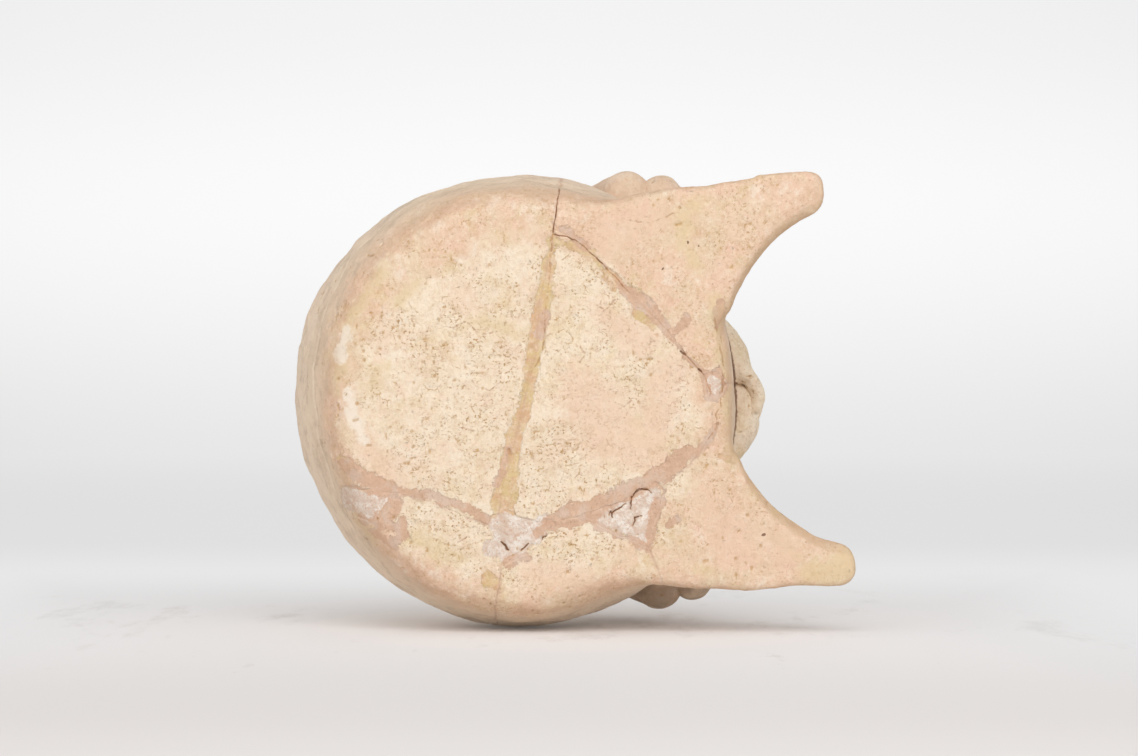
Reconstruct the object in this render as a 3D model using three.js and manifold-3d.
// Seated human effigy jar of low-fired clay, broken in use or burial and put together again.
// Millimetres. Z is up and the resting plane is Z = 0. The axis of the jar is the Z axis.
// The figure faces -Y, and its own left side is +X.
import * as THREE from 'three';
import Module from 'manifold-3d';

const wasm = await Module();
wasm.setup();

// Joints between pieces
const GLUE_GAP = 0.3;

// Body of the jar
const BASE_HALF_WIDTH = 73;
const BASE_FRONT = 74.5;
const BASE_BACK = 66;
const FOOT_CURVE_HEIGHT = 16;
const FOOT_CURVE_RADIUS = 80;
const BELLY_HALF_WIDTH = 83.5;
const BELLY_FRONT = 78;
const BELLY_BACK = 84.5;
const BELLY_HEIGHT = 46;
const CHEST_HALF_WIDTH = 69;
const CHEST_HEIGHT = 87;
const SHOULDER_HALF_WIDTH = 51;
const SHOULDER_HEIGHT = 109;
const NECK_HALF_WIDTH = 24;
const NECK_BASE_HEIGHT = 120;
const WALL = 7.5;
const FLOOR = 9;
const FLOOR_CORNER = 6;

// Breaks round the wall
const COIL_BREAK_HEIGHT = 30;
const COIL_BREAK_TILT = 0.2;
const SHOULDER_BREAK_DROP = 12;
const SIDE_BREAK_TURN = 0.22;

// Legs
const LEG_OUTER_EDGE = 74.3;
const LEG_LENGTH = 114.6;
const LEG_ROOT = 18;
const LEG_ROOT_OUTER_EDGE = 68;
const LEG_ROOT_BLEND = 30;
const LEG_ROOT_THICKNESS = 30;
const LEG_TIP_THICKNESS = 15;
const LEG_TIP_INNER_EDGE = 61;
const LEG_TIP_ROUND = 7;
const LEG_SOLE_ROUND = 5;
const NOTCH_HALF_WIDTH = 22;
const NOTCH_CURVE = 0.55;

// Arms and hands
const ARM_RADIUS = 10.5;
const ELBOW_RADIUS = 11;
const WRIST_RADIUS = 7.5;
const ELBOW_INSET = 10.5;
const ELBOW_FORWARD = 50;
const ELBOW_HEIGHT = 62;
const FOREARM_FORWARD = 10;
const WRIST_OUT = 27;
const WRIST_INSET = 2;
const HAND_HEIGHT = 73;
const HAND_LENGTH = 25;
const HAND_RADIUS = 8.5;
const HAND_PROUD = 2;
const FINGER_OVERLAP = 13;
const FINGER_RADIUS = 5.5;
const FINGER_RISE = 5;

// Neck and head
const HEAD_BASE_HEIGHT = 130;
const CHIN_HEIGHT = 136;
const HEAD_HEIGHT = 74;
const HEAD_HALF_WIDTH = 33;
const JAW_HALF_WIDTH = 28;
const CHIN_FORWARD = 5;
const FACE_FORWARD = 34;
const HEAD_BACK = 36;
const HEAD_WALL = 7;
const RIM_HALF_WIDTH = 20;
const RIM_HEIGHT = 17;
const RIM_LIP = 2.5;
const RIM_WALL = 6;
const BORE_HALF_WIDTH = 14;

// Face and headgear
const EYE_SPACING = 24;
const EYE_LENGTH = 14;
const EYE_HEIGHT = 7;
const EYE_PROUD = 2.5;
const NOSE_WIDTH = 13;
const NOSE_PROUD = 8;
const MOUTH_WIDTH = 19;
const LIP_HEIGHT = 6.5;
const LIP_PROUD = 3;
const EAR_LENGTH = 22;
const EAR_WIDTH = 9;
const EAR_PROUD = 5;
const BAND_HEIGHT = 9;
const BAND_PROUD = 3;

// Fineness of the surfaces
const BODY_SIDES = 44;
const BODY_RINGS = 15;
const HEAD_SIDES = 28;
const LIMB_SIDES = 12;
const LIMB_RINGS = 8;
const FINEST_EDGE = 0.01;

const clay = { color: 0xe6cba6, roughness: 0.92, metalness: 0 };
const paleClay = { color: 0xe9d3b2, roughness: 0.93, metalness: 0 };
const pinkClay = { color: 0xe3c2a2, roughness: 0.92, metalness: 0 };
const ochreMortar = { color: 0xd2ae7c, roughness: 0.95, metalness: 0 };
const greyPlaster = { color: 0xc4ae9f, roughness: 0.96, metalness: 0 };

const shoulderBreak = SHOULDER_HEIGHT - SHOULDER_BREAK_DROP;
const elbowOut = BELLY_HALF_WIDTH - ELBOW_INSET;
const wristForward = BELLY_FRONT - WRIST_INSET;
const handForward = BELLY_FRONT + HAND_PROUD;

const figure = new THREE.Group();

// A piece of the figure: a named mesh with a finish of its own
function addPiece(name, body, finish) {
  const found = body.simplify(FINEST_EDGE).getMesh();
  const geometry = new THREE.BufferGeometry();
  geometry.setAttribute('position', new THREE.BufferAttribute(found.vertProperties, found.numProp));
  geometry.setIndex(new THREE.BufferAttribute(found.triVerts, 1));
  geometry.computeVertexNormals();
  const mesh = new THREE.Mesh(geometry, new THREE.MeshStandardMaterial(finish));
  mesh.name = name;
  figure.add(mesh);
}

// A closed solid through rings of points, each ring counter-clockwise about the way the rings go
function skin(rings) {
  const sides = rings[0].length;
  const points = rings.flat();
  const faces = [];
  for (let ring = 0; ring < rings.length - 1; ring += 1) {
    for (let side = 0; side < sides; side += 1) {
      const here = ring * sides + side;
      const beside = ring * sides + ((side + 1) % sides);
      faces.push(here, beside, beside + sides, here, beside + sides, here + sides);
    }
  }
  const lastRing = (rings.length - 1) * sides;
  const start = points.push(middleOf(rings[0])) - 1;
  const end = points.push(middleOf(rings.at(-1))) - 1;
  for (let side = 0; side < sides; side += 1) {
    const next = (side + 1) % sides;
    faces.push(start, next, side, end, lastRing + side, lastRing + next);
  }
  const vertProperties = new Float32Array(points.flatMap((point) => point.toArray()));
  const triVerts = new Uint32Array(faces);
  return new wasm.Manifold(new wasm.Mesh({ numProp: 3, vertProperties, triVerts }));
}

function middleOf(ring) {
  const sum = new THREE.Vector3();
  ring.forEach((point) => sum.add(point));
  return sum.divideScalar(ring.length);
}

function mix(from, to, share) {
  return from + (to - from) * share;
}

function clamp(value) {
  return Math.min(Math.max(value, 0), 1);
}

function counterClockwise(outline) {
  return THREE.ShapeUtils.area(outline) < 0 ? [...outline].reverse() : outline;
}

// An upright prism over an outline of plan points, which may bend inwards
function prism(outline, bottom, top) {
  const plan = counterClockwise(outline);
  const sides = plan.length;
  const faces = [];
  THREE.ShapeUtils.triangulateShape(plan, []).forEach(([a, b, c]) => {
    faces.push(c, b, a, a + sides, b + sides, c + sides);
  });
  for (let side = 0; side < sides; side += 1) {
    const next = (side + 1) % sides;
    faces.push(side, next, next + sides, side, next + sides, side + sides);
  }
  const points = [bottom, top].flatMap((z) => plan.flatMap((point) => [point.x, point.y, z]));
  const vertProperties = new Float32Array(points);
  const triVerts = new Uint32Array(faces);
  return new wasm.Manifold(new wasm.Mesh({ numProp: 3, vertProperties, triVerts }));
}

// The outline moved inwards by a distance, corner by corner, or outwards by a negative one
function shrunk(outline, distance) {
  const ordered = counterClockwise(outline);
  return ordered.map((point, index) => {
    const before = ordered.at(index - 1);
    const after = ordered[(index + 1) % ordered.length];
    const arriving = point.clone().sub(before).normalize();
    const leaving = after.clone().sub(point).normalize();
    const inwardArriving = new THREE.Vector2(-arriving.y, arriving.x);
    const inwardLeaving = new THREE.Vector2(-leaving.y, leaving.x);
    const bisector = inwardArriving.add(inwardLeaving).normalize();
    const reach = distance / Math.max(bisector.dot(inwardLeaving), 0.25);
    return point.clone().addScaledVector(bisector, reach);
  });
}

// The jar's outside as half widths and heights, from the resting plane to the neck
const bodyProfile = new THREE.SplineCurve([
  new THREE.Vector2(BASE_HALF_WIDTH, 0),
  new THREE.Vector2(FOOT_CURVE_RADIUS, FOOT_CURVE_HEIGHT),
  new THREE.Vector2(BELLY_HALF_WIDTH, BELLY_HEIGHT),
  new THREE.Vector2(CHEST_HALF_WIDTH, CHEST_HEIGHT),
  new THREE.Vector2(SHOULDER_HALF_WIDTH, SHOULDER_HEIGHT),
  new THREE.Vector2(NECK_HALF_WIDTH, NECK_BASE_HEIGHT),
]);

// Front and back depths of the jar as shares of its half width at a height
function depthShare(front, z) {
  const rise = clamp(z / BELLY_HEIGHT);
  const settle = clamp((z - BELLY_HEIGHT) / (NECK_BASE_HEIGHT - BELLY_HEIGHT));
  const atBase = front ? BASE_FRONT / BASE_HALF_WIDTH : BASE_BACK / BASE_HALF_WIDTH;
  const atBelly = front ? BELLY_FRONT / BELLY_HALF_WIDTH : BELLY_BACK / BELLY_HALF_WIDTH;
  return mix(mix(atBase, atBelly, Math.sin((rise * Math.PI) / 2)), 1, settle);
}

function bodyRing(halfWidth, z) {
  return Array.from({ length: BODY_SIDES }, (_, side) => {
    const angle = (side / BODY_SIDES) * Math.PI * 2;
    const across = Math.cos(angle) * halfWidth;
    const along = Math.sin(angle) * halfWidth;
    return new THREE.Vector3(across, along * depthShare(along < 0, z), z);
  });
}

// The profile moved towards the outside of the wall, or with a negative distance into it
function offsetProfile(distance) {
  return Array.from({ length: BODY_RINGS + 1 }, (_, step) => {
    const share = step / BODY_RINGS;
    const point = bodyProfile.getPoint(share);
    const tangent = bodyProfile.getTangent(share);
    return new THREE.Vector2(point.x + tangent.y * distance, point.y - tangent.x * distance);
  });
}

function bodyOutside(grow) {
  const profile = offsetProfile(grow);
  const rings = profile.map((point) => bodyRing(point.x, point.y));
  rings[0] = bodyRing(profile[0].x, -grow);
  return skin(rings);
}

function bodyInside() {
  const neckBore = NECK_HALF_WIDTH - WALL;
  const profile = offsetProfile(-WALL).filter(({ x, y }) => y > FLOOR + FLOOR_CORNER / 2 && x > neckBore);
  const rings = profile.map((point) => bodyRing(point.x, point.y));
  rings.unshift(bodyRing(profile[0].x - FLOOR_CORNER, FLOOR));
  rings.push(bodyRing(neckBore, profile.at(-1).y + 1));
  rings.push(bodyRing(neckBore, NECK_BASE_HEIGHT + WALL));
  return skin(rings);
}

// One leg: a blunt horn with a flat sole. Side is -1 for the figure's right and 1 for its left.
function leg(side) {
  const frontWall = BASE_FRONT;
  const lengthPastWall = LEG_LENGTH - frontWall;
  const legShares = [0, 0.14, 0.28, 0.42, 0.55, 0.63, 0.7, 0.77, 0.84, 0.9];
  const alongLeg = legShares.map((share) => mix(LEG_ROOT, LEG_LENGTH, share));
  const alongTip = [0, 0.4, 0.7, 0.9, 1].map((share) => LEG_LENGTH - LEG_TIP_ROUND * (1 - share));
  const rings = [...alongLeg, ...alongTip].map((forward) => {
    const pastWall = clamp((forward - frontWall) / lengthPastWall);
    const intoTip = clamp((forward - (LEG_LENGTH - LEG_TIP_ROUND)) / LEG_TIP_ROUND);
    const roundOff = Math.sqrt(Math.max(1 - intoTip ** 2, 0.02));
    const inner = mix(NOTCH_HALF_WIDTH, LEG_TIP_INNER_EDGE, pastWall ** NOTCH_CURVE);
    const fromRoot = clamp((forward - LEG_ROOT) / LEG_ROOT_BLEND);
    const outer = mix(LEG_ROOT_OUTER_EDGE, LEG_OUTER_EDGE, Math.sin((fromRoot * Math.PI) / 2));
    const middle = (inner + outer) / 2;
    const half = ((outer - inner) / 2) * mix(0.35, 1, roundOff);
    const top = mix(LEG_ROOT_THICKNESS, LEG_TIP_THICKNESS, pastWall) * mix(0.6, 1, roundOff);
    return legRing(side, middle, half, forward, top);
  });
  return skin(rings);
}

function legRing(side, middle, half, forward, top) {
  const sides = 20;
  return Array.from({ length: sides }, (_, step) => {
    const angle = (step / sides) * Math.PI * 2;
    const across = Math.cos(angle);
    const up = Math.sin(angle);
    const x = side * middle + half * Math.sign(across) * Math.abs(across) ** 0.8;
    const low = Math.max(LEG_SOLE_ROUND - (LEG_SOLE_ROUND + 2) * Math.abs(up), 0);
    const z = up > 0 ? mix(LEG_SOLE_ROUND, top, up ** 0.9) : low;
    return new THREE.Vector3(x, -forward, z);
  });
}

// A coil or lump of clay along a curve, with a radius at each of its points and round ends
function limb(points, radii, grow) {
  const curve = new THREE.CatmullRomCurve3(points, false, 'centripetal');
  const lastPoint = points.length - 1;
  const rings = [];
  for (let step = 0; step <= LIMB_RINGS; step += 1) {
    const share = step / LIMB_RINGS;
    const place = share * lastPoint;
    const index = Math.min(Math.floor(place), lastPoint - 1);
    const radius = mix(radii[index], radii[index + 1], place - index) + grow;
    rings.push(limbRing(curve.getPoint(share), curve.getTangent(share), radius));
  }
  const startEnd = roundEnd(points[0], curve.getTangent(0), radii[0] + grow, -1);
  const farEnd = roundEnd(points.at(-1), curve.getTangent(1), radii.at(-1) + grow, 1);
  return skin([...startEnd.reverse(), ...rings, ...farEnd]);
}

function limbRing(centre, way, radius) {
  const reference = Math.abs(way.z) > 0.85 ? new THREE.Vector3(0, 1, 0) : new THREE.Vector3(0, 0, 1);
  const aside = new THREE.Vector3().crossVectors(reference, way).normalize();
  const upward = new THREE.Vector3().crossVectors(way, aside).normalize();
  return Array.from({ length: LIMB_SIDES }, (_, side) => {
    const angle = (side / LIMB_SIDES) * Math.PI * 2;
    return centre
      .clone()
      .addScaledVector(aside, Math.cos(angle) * radius)
      .addScaledVector(upward, Math.sin(angle) * radius);
  });
}

// Rings that close a limb in a dome, past its start or past its end
function roundEnd(point, way, radius, direction) {
  return [0.5, 0.85, 0.985].map((share) => {
    const centre = point.clone().addScaledVector(way, direction * radius * share);
    return limbRing(centre, way, radius * Math.sqrt(1 - share ** 2));
  });
}

// Break points seen on the underside, in hundredths of the base's half width: across, then towards the back
function at(across, back) {
  const share = BASE_HALF_WIDTH / 100;
  return new THREE.Vector2(across * share, back * share);
}

// Where three or more breaks meet
const RIGHT_JOINT = at(-81, -22.6);
const SIDE_JOINT = at(66, 8);
const PATCH_JOINT = at(59, -46);
const FRONT_JOINT = at(0, -95);
const BACK_JOINT = at(43, 82);

// The breaks between the joints
const BAND_COURSE = [
  at(-49, -13.8), at(-22, -8.8), at(-0.3, -2.2), at(16.4, 3.8), at(38.2, 11.1), at(53.7, 15.8),
];
const BACK_CRACK = [at(53.6, 34.5), at(45.2, 48.6), at(40.4, 64.4)];
const SIDE_CRACK = [at(61, -11.5), at(59.6, -23.3)];
const FRONT_CRACK = [at(48, -64), at(38.2, -80.5), at(29, -88.6), at(22, -92.7)];
const DIAGONAL_CRACK = [at(-33.3, -71.2), at(-47.5, -59), at(-61.6, -47.3), at(-77, -33)];
const LEFT_WALL_CRACK = [at(80, 16), at(96.8, 19.7)];
const LEFT_LEG_CRACK = [at(76.7, -56.6), at(98.6, -63)];

// Points well outside the jar, where the breaks leave it
const OUT_RIGHT = at(-190, -44);
const OUT_RIGHT_BACK = at(-190, 190);
const OUT_BACK = at(62, 190);
const OUT_LEFT_BACK = at(190, 190);
const OUT_LEFT = at(190, 38);
const OUT_LEFT_LEG = at(190, -96);
const OUT_LEFT_FRONT = at(190, -190);
const OUT_FRONT = at(0, -190);
const OUT_RIGHT_FRONT = at(-190, -190);

const BAND_HALF_WIDTH = 2.8;
const FILL_HEIGHT = 12;
const BEYOND = 10;

// One side of the ochre band: the course of its middle moved sideways
function bandEdge(sideways) {
  return BAND_COURSE.map((point, index) => {
    const before = BAND_COURSE[Math.max(index - 1, 0)];
    const after = BAND_COURSE[Math.min(index + 1, BAND_COURSE.length - 1)];
    const way = after.clone().sub(before).normalize();
    return new THREE.Vector2(point.x - way.y * sideways, point.y + way.x * sideways);
  });
}

function reversed(points) {
  return [...points].reverse();
}

const bandBack = bandEdge(BAND_HALF_WIDTH);
const bandFront = bandEdge(-BAND_HALF_WIDTH);
const bandEnd = [bandFront.at(-1).clone().add(at(1, 0)), bandBack.at(-1).clone().add(at(1, 0))];

const baseSherds = {
  base_sherd_back: {
    finish: paleClay,
    outline: [
      OUT_RIGHT, OUT_RIGHT_BACK, OUT_BACK, BACK_JOINT, ...reversed(BACK_CRACK), SIDE_JOINT,
      ...reversed(BAND_COURSE), RIGHT_JOINT,
    ],
  },
  base_sherd_middle: {
    finish: paleClay,
    outline: [
      RIGHT_JOINT, ...BAND_COURSE, SIDE_JOINT, ...SIDE_CRACK, PATCH_JOINT, ...FRONT_CRACK, FRONT_JOINT,
      ...DIAGONAL_CRACK,
    ],
  },
  right_leg_sherd: {
    finish: pinkClay,
    outline: [OUT_RIGHT, RIGHT_JOINT, ...reversed(DIAGONAL_CRACK), FRONT_JOINT, OUT_FRONT, OUT_RIGHT_FRONT],
  },
  left_back_sherd: {
    finish: clay,
    outline: [
      SIDE_JOINT, ...BACK_CRACK, BACK_JOINT, OUT_BACK, OUT_LEFT_BACK, OUT_LEFT, ...reversed(LEFT_WALL_CRACK),
    ],
  },
  left_side_sherd: {
    finish: clay,
    outline: [
      SIDE_JOINT, ...LEFT_WALL_CRACK, OUT_LEFT, OUT_LEFT_LEG, ...reversed(LEFT_LEG_CRACK), PATCH_JOINT,
      ...reversed(SIDE_CRACK),
    ],
  },
  left_leg_sherd: {
    finish: pinkClay,
    outline: [
      FRONT_JOINT, ...reversed(FRONT_CRACK), PATCH_JOINT, ...LEFT_LEG_CRACK, OUT_LEFT_LEG, OUT_LEFT_FRONT,
      OUT_FRONT,
    ],
  },
};

const fills = {
  band_fill: { finish: ochreMortar, outline: [RIGHT_JOINT, ...bandFront, ...reversed(bandBack)] },
  side_fill: {
    finish: greyPlaster,
    outline: [
      ...bandEnd, at(60.5, 21.2), at(81.2, 17.7), at(75.3, 5.5), at(71.5, -3.6), at(62.3, -12.3),
      at(59.9, -11), at(60.3, -2.7),
    ],
  },
  patch_fill: {
    finish: greyPlaster,
    outline: [at(59.6, -23.3), at(46.6, -63), at(50.7, -67), at(76.7, -56.6), at(68.5, -41)],
  },
  front_fill: {
    finish: greyPlaster,
    outline: [at(-6.2, -90.4), at(6.2, -91.8), at(7.4, -96.8), at(0, -101.4), at(-6.6, -97.3)],
  },
  diagonal_fill: {
    finish: ochreMortar,
    outline: [at(-33.3, -71.2), at(-45.9, -56.2), at(-61.6, -47.3), at(-50, -62.3)],
  },
  back_fill: {
    finish: greyPlaster,
    outline: [at(40.4, 64.4), at(54, 78), at(46, 95), at(35, 92)],
  },
};

// Everything below the tilted coil break, or everything above it, up to a height
function besideCoilBreak(below) {
  const reach = LEG_LENGTH + BELLY_HALF_WIDTH;
  const edge = GLUE_GAP / 2;
  const corners = [[-1, -1], [1, -1], [1, 1], [-1, 1]].map(([x, y]) => [x * reach, y * reach]);
  const level = (z) => corners.map(([x, y]) => new THREE.Vector3(x, y, z));
  const tilted = (z) => corners.map(([x, y]) => new THREE.Vector3(x, y, z - COIL_BREAK_TILT * y));
  if (below) {
    return skin([level(-BEYOND), tilted(COIL_BREAK_HEIGHT - edge)]);
  }
  return skin([tilted(COIL_BREAK_HEIGHT + edge), level(shoulderBreak - edge)]);
}

// An upright cylinder about the jar's axis
function round(halfWidth, bottom, top, sides) {
  const circle = (z) => Array.from({ length: sides }, (_, side) => {
    const angle = (side / sides) * Math.PI * 2;
    return new THREE.Vector3(Math.cos(angle) * halfWidth, Math.sin(angle) * halfWidth, z);
  });
  return skin([circle(bottom), circle(top)]);
}

// The base with its low wall and legs, and the plaster and mortar let into its breaks
function addBase(shell) {
  const lowWall = shell.intersect(besideCoilBreak(true));
  const hollows = Object.values(fills)
    .map(({ outline }) => prism(shrunk(outline, -GLUE_GAP), -BEYOND, FILL_HEIGHT + GLUE_GAP))
    .reduce((all, hollow) => all.add(hollow));
  const broken = lowWall.subtract(hollows);
  Object.entries(baseSherds).forEach(([name, { outline, finish }]) => {
    addPiece(name, broken.intersect(prism(shrunk(outline, GLUE_GAP / 2), -BEYOND, LEG_LENGTH)), finish);
  });
  Object.entries(fills).forEach(([name, { outline, finish }]) => {
    addPiece(name, lowWall.intersect(prism(outline, -BEYOND, FILL_HEIGHT)), finish);
  });
}

// The high wall, in a front and a back piece under a ring of shoulders
function addHighWall(shell) {
  const wall = shell.intersect(besideCoilBreak(false));
  const reach = LEG_LENGTH;
  const edge = GLUE_GAP / 2;
  const breakEnd = SIDE_BREAK_TURN * reach;
  const front = [
    new THREE.Vector2(-reach, -breakEnd - edge), new THREE.Vector2(-reach, -reach),
    new THREE.Vector2(reach, -reach), new THREE.Vector2(reach, breakEnd - edge),
  ];
  const back = [
    new THREE.Vector2(-reach, -breakEnd + edge), new THREE.Vector2(reach, breakEnd + edge),
    new THREE.Vector2(reach, reach), new THREE.Vector2(-reach, reach),
  ];
  addPiece('belly_front_sherd', wall.intersect(prism(front, -BEYOND, LEG_LENGTH)), clay);
  addPiece('body_back_sherd', wall.intersect(prism(back, -BEYOND, LEG_LENGTH)), clay);
  const shoulders = round(LEG_LENGTH, shoulderBreak + edge, NECK_BASE_HEIGHT, LIMB_SIDES);
  addPiece('shoulder_sherd', shell.intersect(shoulders), paleClay);
}

// Both arms: an upper arm coil, a forearm coil and a hand, pressed to the body and to each other
function armParts(side, grow) {
  const shoulder = new THREE.Vector3(side * (SHOULDER_HALF_WIDTH - 4), -6, SHOULDER_HEIGHT);
  const middle = new THREE.Vector3(side * CHEST_HALF_WIDTH, -ELBOW_FORWARD / 2, CHEST_HEIGHT + 1);
  const elbow = new THREE.Vector3(side * elbowOut, -ELBOW_FORWARD, ELBOW_HEIGHT);
  const bend = new THREE.Vector3(side * (elbowOut - 3), -ELBOW_FORWARD - FOREARM_FORWARD, ELBOW_HEIGHT - 1);
  const between = new THREE.Vector3(
    side * mix(elbowOut, WRIST_OUT, 0.45),
    -mix(ELBOW_FORWARD + FOREARM_FORWARD, wristForward, 0.62),
    mix(ELBOW_HEIGHT, HAND_HEIGHT, 0.45),
  );
  const wrist = new THREE.Vector3(side * WRIST_OUT, -wristForward + 2, HAND_HEIGHT);
  const palmOut = WRIST_OUT - HAND_LENGTH / 2;
  const palm = new THREE.Vector3(side * palmOut, -mix(wristForward, handForward, 0.7), HAND_HEIGHT);
  const knuckles = new THREE.Vector3(side * HAND_RADIUS, -handForward, HAND_HEIGHT);
  return {
    upperArm: limb([shoulder, middle, elbow], [ARM_RADIUS, ARM_RADIUS, ELBOW_RADIUS], grow),
    forearm: limb([bend, between, wrist], [ELBOW_RADIUS, ARM_RADIUS, WRIST_RADIUS], grow),
    hand: limb([wrist, palm, knuckles], [WRIST_RADIUS, HAND_RADIUS, HAND_RADIUS], grow),
  };
}

// The fingers of the right hand, laid over the left hand
function fingers(grow) {
  const height = HAND_HEIGHT + FINGER_RISE;
  const start = new THREE.Vector3(-HAND_RADIUS, -handForward - 3, height - 1);
  const crown = new THREE.Vector3(FINGER_OVERLAP / 3, -handForward - FINGER_RADIUS - 1, height + 1);
  const tip = new THREE.Vector3(FINGER_OVERLAP, -handForward - 2, height + 1);
  return limb([start, crown, tip], [FINGER_RADIUS, FINGER_RADIUS, FINGER_RADIUS - 1], grow);
}

function addArms() {
  const body = bodyOutside(GLUE_GAP);
  const right = armParts(-1, 0);
  const rightGrown = armParts(-1, GLUE_GAP);
  const left = armParts(1, 0);
  const leftGrown = armParts(1, GLUE_GAP);
  const rightHand = right.hand.add(fingers(0)).subtract(body).subtract(rightGrown.forearm);
  const rightHandGrown = rightGrown.hand.add(fingers(GLUE_GAP));
  const leftHand = left.hand.subtract(body).subtract(leftGrown.forearm).subtract(rightHandGrown);
  addPiece('right_upper_arm', right.upperArm.subtract(body), clay);
  addPiece('left_upper_arm', left.upperArm.subtract(body), clay);
  addPiece('right_forearm', right.forearm.subtract(body).subtract(rightGrown.upperArm), clay);
  addPiece('left_forearm', left.forearm.subtract(body).subtract(leftGrown.upperArm), clay);
  addPiece('right_hand', rightHand, pinkClay);
  addPiece('left_hand', leftHand, pinkClay);
}

const crownHeight = CHIN_HEIGHT + HEAD_HEIGHT;
const eyeLine = CHIN_HEIGHT + HEAD_HEIGHT / 2;
const noseBase = CHIN_HEIGHT + HEAD_HEIGHT / 4;
const mouthLine = CHIN_HEIGHT + HEAD_HEIGHT / 6;

// The head's outside as half widths and heights
const headProfile = new THREE.SplineCurve([
  new THREE.Vector2(NECK_HALF_WIDTH - 1, HEAD_BASE_HEIGHT),
  new THREE.Vector2(JAW_HALF_WIDTH, mouthLine),
  new THREE.Vector2(HEAD_HALF_WIDTH, eyeLine),
  new THREE.Vector2(HEAD_HALF_WIDTH - 1.5, mix(eyeLine, crownHeight, 0.5)),
  new THREE.Vector2(HEAD_HALF_WIDTH - 6, mix(eyeLine, crownHeight, 0.85)),
  new THREE.Vector2(RIM_HALF_WIDTH, crownHeight),
]);

function headPoint(halfWidth, z, angle) {
  const across = Math.cos(angle) * halfWidth;
  const along = Math.sin(angle) * halfWidth;
  const fullness = Math.sin(clamp((z - HEAD_BASE_HEIGHT) / (crownHeight - HEAD_BASE_HEIGHT)) * Math.PI);
  const depth = along < 0 ? FACE_FORWARD : HEAD_BACK;
  const chinRise = (z - CHIN_HEIGHT - CHIN_FORWARD) / (CHIN_FORWARD * 1.6);
  const chin = along < 0 ? CHIN_FORWARD * Math.exp(-(chinRise ** 2)) * Math.sin(angle) ** 2 : 0;
  return new THREE.Vector3(across, along * mix(1, depth / HEAD_HALF_WIDTH, fullness) - chin, z);
}

function headRing(halfWidth, z) {
  return Array.from({ length: HEAD_SIDES }, (_, side) => {
    const angle = (side / HEAD_SIDES) * Math.PI * 2;
    return headPoint(halfWidth, z, angle);
  });
}

function headOutside(grow) {
  const steps = 11;
  const rings = Array.from({ length: steps + 1 }, (_, step) => {
    const point = headProfile.getPoint(step / steps);
    const tangent = headProfile.getTangent(step / steps);
    return headRing(point.x + tangent.y * grow, point.y - tangent.x * grow);
  });
  return skin(rings);
}

// A point on the face or beside it, at a height, an amount across and an amount proud of the surface
function onHead(across, z, proud) {
  let share = 0;
  while (share < 1 && headProfile.getPoint(share).y < z) {
    share += 0.01;
  }
  const halfWidth = headProfile.getPoint(Math.min(share, 1)).x;
  const angle = -Math.acos(Math.min(Math.max(across / halfWidth, -1), 1));
  const surface = headPoint(halfWidth, z, angle);
  const outward = new THREE.Vector3(surface.x, surface.y, 0).normalize();
  return surface.addScaledVector(outward, proud);
}

function addHead() {
  const under = NECK_BASE_HEIGHT - BEYOND;
  const above = crownHeight + RIM_HEIGHT + BEYOND;
  const bore = round(BORE_HALF_WIDTH, under, above, HEAD_SIDES);
  const neckTop = HEAD_BASE_HEIGHT - GLUE_GAP;
  const neckRings = [0, 0.5, 1].map((share) => {
    const waist = NECK_HALF_WIDTH - Math.sin(share * Math.PI) - share;
    return bodyRing(waist, mix(NECK_BASE_HEIGHT + GLUE_GAP, neckTop, share));
  });
  const neckBore = round(NECK_HALF_WIDTH - WALL, under, HEAD_BASE_HEIGHT + HEAD_WALL, HEAD_SIDES);
  addPiece('neck', skin(neckRings).subtract(neckBore), clay);
  const head = headOutside(0).subtract(headOutside(-HEAD_WALL)).subtract(neckBore).subtract(bore);
  addPiece('head', head, paleClay);
  const rimBottom = crownHeight + GLUE_GAP;
  const rimRings = [0, 0.55, 0.85, 1].map((share) => {
    const lipTuck = share === 1 ? RIM_LIP / 2 : 0;
    const flare = RIM_HALF_WIDTH + RIM_LIP * Math.sin((share * Math.PI) / 2) - lipTuck;
    return headRing(flare, mix(rimBottom, crownHeight + RIM_HEIGHT, share));
  });
  const mouth = round(RIM_HALF_WIDTH - RIM_WALL, crownHeight - BEYOND, above, HEAD_SIDES);
  addPiece('mouth_rim', skin(rimRings).subtract(mouth), clay);
}

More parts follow.
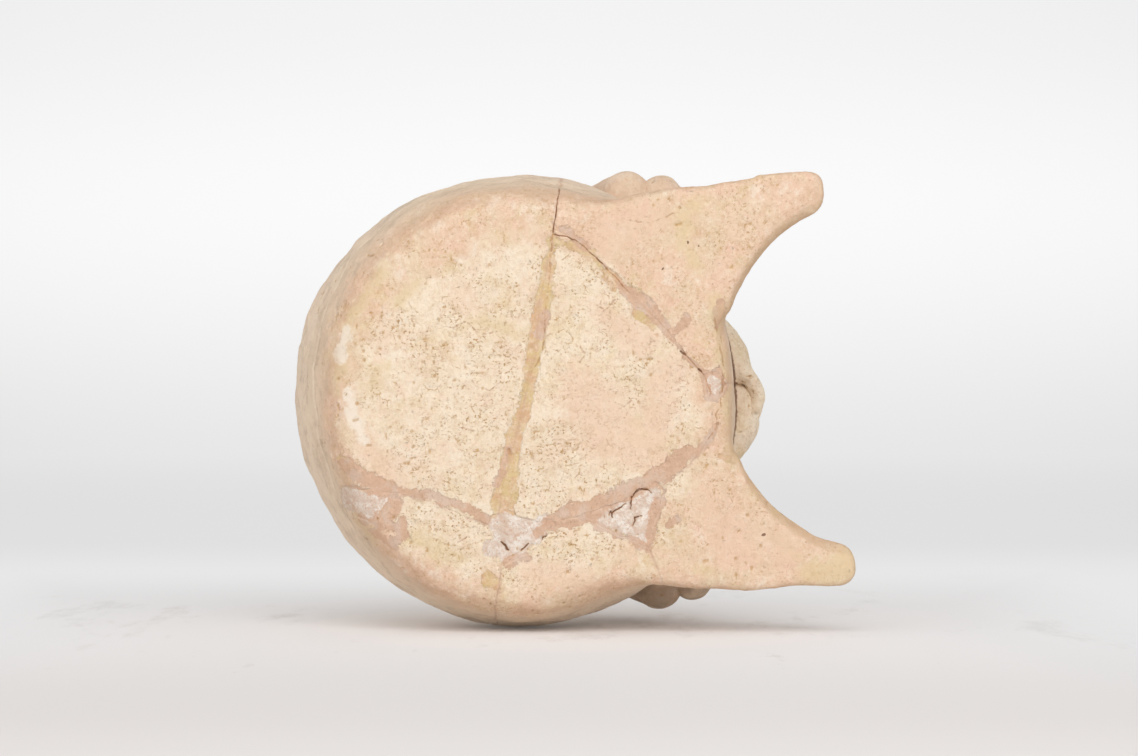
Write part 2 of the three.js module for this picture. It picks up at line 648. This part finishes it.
function addFace() {
  const head = headOutside(GLUE_GAP);
  const nosePoints = [
    onHead(0, eyeLine + 2, 0),
    onHead(0, mix(noseBase, eyeLine, 0.5), 1),
    onHead(0, noseBase + 3, NOSE_PROUD - NOSE_WIDTH / 2 + 1),
  ];
  const nose = limb(nosePoints, [2.5, 4, NOSE_WIDTH / 2 - 1], 0);
  addPiece('nose', nose.subtract(head), clay);
  const lipPoints = [-1, 0, 1].map((step) => {
    const across = (step * (MOUTH_WIDTH - LIP_HEIGHT)) / 2;
    return onHead(across, mouthLine, LIP_PROUD - LIP_HEIGHT / 2);
  });
  const lipRadii = [LIP_HEIGHT / 3, LIP_HEIGHT / 2, LIP_HEIGHT / 3];
  addPiece('lips', limb(lipPoints, lipRadii, 0).subtract(head), pinkClay);
  [-1, 1].forEach((side) => {
    const prefix = side < 0 ? 'right' : 'left';
    const eyePoints = [-1, 0, 1].map((step) => {
      const across = (side * EYE_SPACING) / 2 + (step * (EYE_LENGTH - EYE_HEIGHT)) / 2;
      return onHead(across, eyeLine, EYE_PROUD - EYE_HEIGHT / 2);
    });
    const eyeRadii = [EYE_HEIGHT / 3, EYE_HEIGHT / 2, EYE_HEIGHT / 3];
    addPiece(`${prefix}_eye`, limb(eyePoints, eyeRadii, 0).subtract(head), paleClay);
    const earPoints = [0, 0.5, 1].map((share) => {
      const bulge = Math.sin(share * Math.PI);
      const z = mix(noseBase - 2, noseBase - 2 + EAR_LENGTH - EAR_WIDTH, share);
      return onHead(side * HEAD_HALF_WIDTH, z, EAR_PROUD - EAR_WIDTH / 2 + bulge);
    });
    const earRadii = [EAR_WIDTH / 2.6, EAR_WIDTH / 2, EAR_WIDTH / 2];
    addPiece(`${prefix}_ear`, limb(earPoints, earRadii, 0).subtract(head), clay);
  });
  const bandLow = mix(eyeLine, crownHeight, 0.42);
  const bandSlab = round(LEG_LENGTH, bandLow, bandLow + BAND_HEIGHT, LIMB_SIDES);
  addPiece('headband', headOutside(BAND_PROUD).intersect(bandSlab).subtract(head), pinkClay);
}

const outside = bodyOutside(0).add(leg(1)).add(leg(-1));
const shell = outside.subtract(bodyInside());
addBase(shell);
addHighWall(shell);
addArms();
addHead();
addFace();

export default figure;
